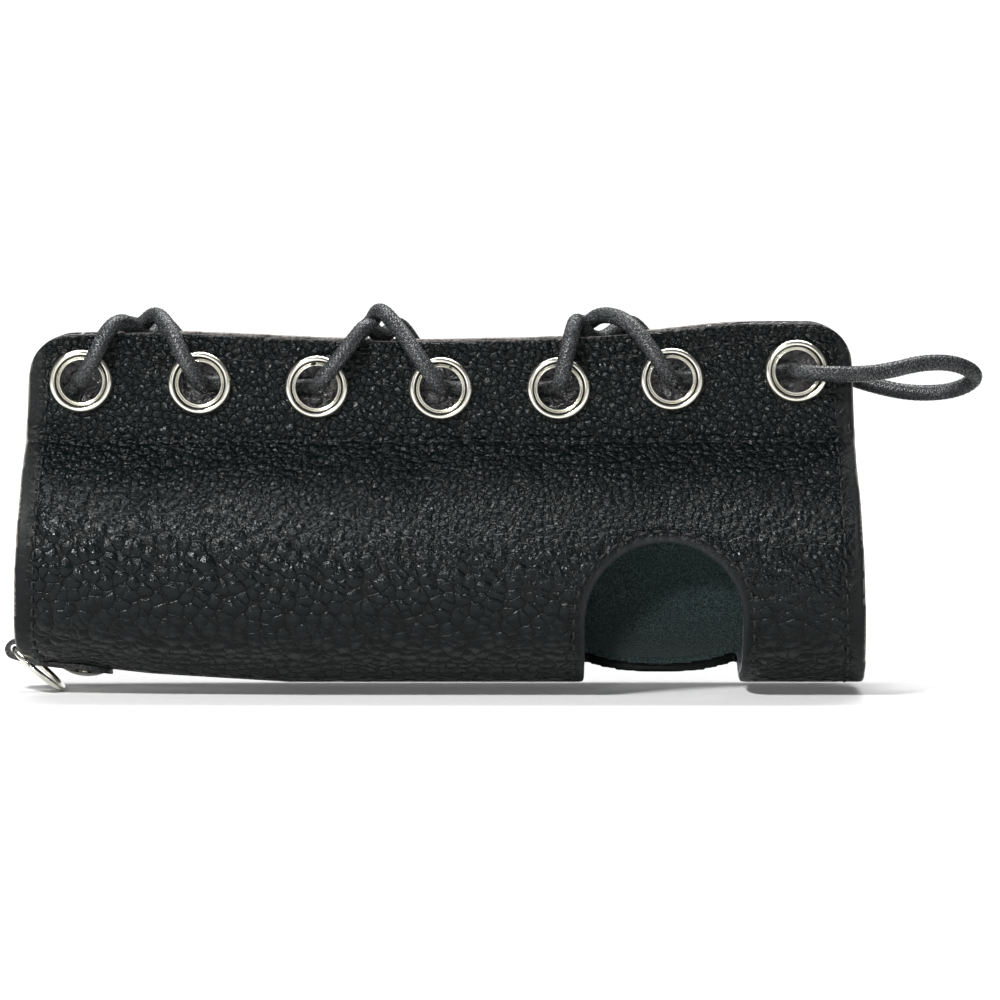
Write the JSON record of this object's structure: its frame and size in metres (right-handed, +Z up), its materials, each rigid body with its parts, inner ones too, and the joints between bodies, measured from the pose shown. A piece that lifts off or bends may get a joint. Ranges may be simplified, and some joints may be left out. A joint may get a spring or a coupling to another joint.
{
  "type": "lace-up instrument guard",
  "caption": "Lace-up leather guard sleeve for an instrument tube, with eyeletted flaps, an arched cut-out and a small attachment ring at one end.",
  "frame": {"origin": "on the bore's axis, midway between the two ends", "axes": "+X along the tube towards the end with the lace's free loop, -Y towards the arched cut-out, +Z up to the lacing"},
  "size_m": [0.1273, 0.031, 0.0515],
  "materials": {
    "leather": "black pebbled grain, semi-gloss",
    "facing_leather": "black fine grain",
    "tab_leather": "black smooth",
    "microsuede": "dark green-grey matte nap",
    "nickel": "polished nickel",
    "waxed_cord": "dark grey waxed round braid",
    "thread": "black bonded thread"
  },
  "bodies": {
    "guard": {"shell": "leather", "lining": "microsuede", "front_facing": "facing_leather", "rear_facing": "facing_leather", "tongue": "facing_leather", "ring_tab": "tab_leather", "tab_rivet": "nickel", "tab_rivet_back": "nickel", "edge_thread": "thread", "seam_thread": "thread", "cutout_thread": "thread", "lace": "waxed_cord", "rear_lace_knot": "waxed_cord", "front_lace_knot": "waxed_cord", "front_eyelet_1": "nickel", "front_washer_1": "nickel", "rear_eyelet_1": "nickel", "rear_washer_1": "nickel", "front_eyelet_2": "nickel", "front_washer_2": "nickel", "rear_eyelet_2": "nickel", "rear_washer_2": "nickel", "front_eyelet_3": "nickel", "front_washer_3": "nickel", "rear_eyelet_3": "nickel", "rear_washer_3": "nickel", "front_eyelet_4": "nickel", "front_washer_4": "nickel", "rear_eyelet_4": "nickel", "rear_washer_4": "nickel", "front_eyelet_5": "nickel", "front_washer_5": "nickel", "rear_eyelet_5": "nickel", "rear_washer_5": "nickel", "front_eyelet_6": "nickel", "front_washer_6": "nickel", "rear_eyelet_6": "nickel", "rear_washer_6": "nickel", "front_eyelet_7": "nickel", "front_washer_7": "nickel", "rear_eyelet_7": "nickel", "rear_washer_7": "nickel"},
    "ring": {"ring": "nickel"}
  },
  "joints": [
    {"name": "ring_swing", "type": "hinge", "parent": "guard", "child": "ring", "pos_m": [-0.0559, 0, -0.01091], "axis": [0, 1, 0], "range_deg": [-11, 164]}
  ]
}
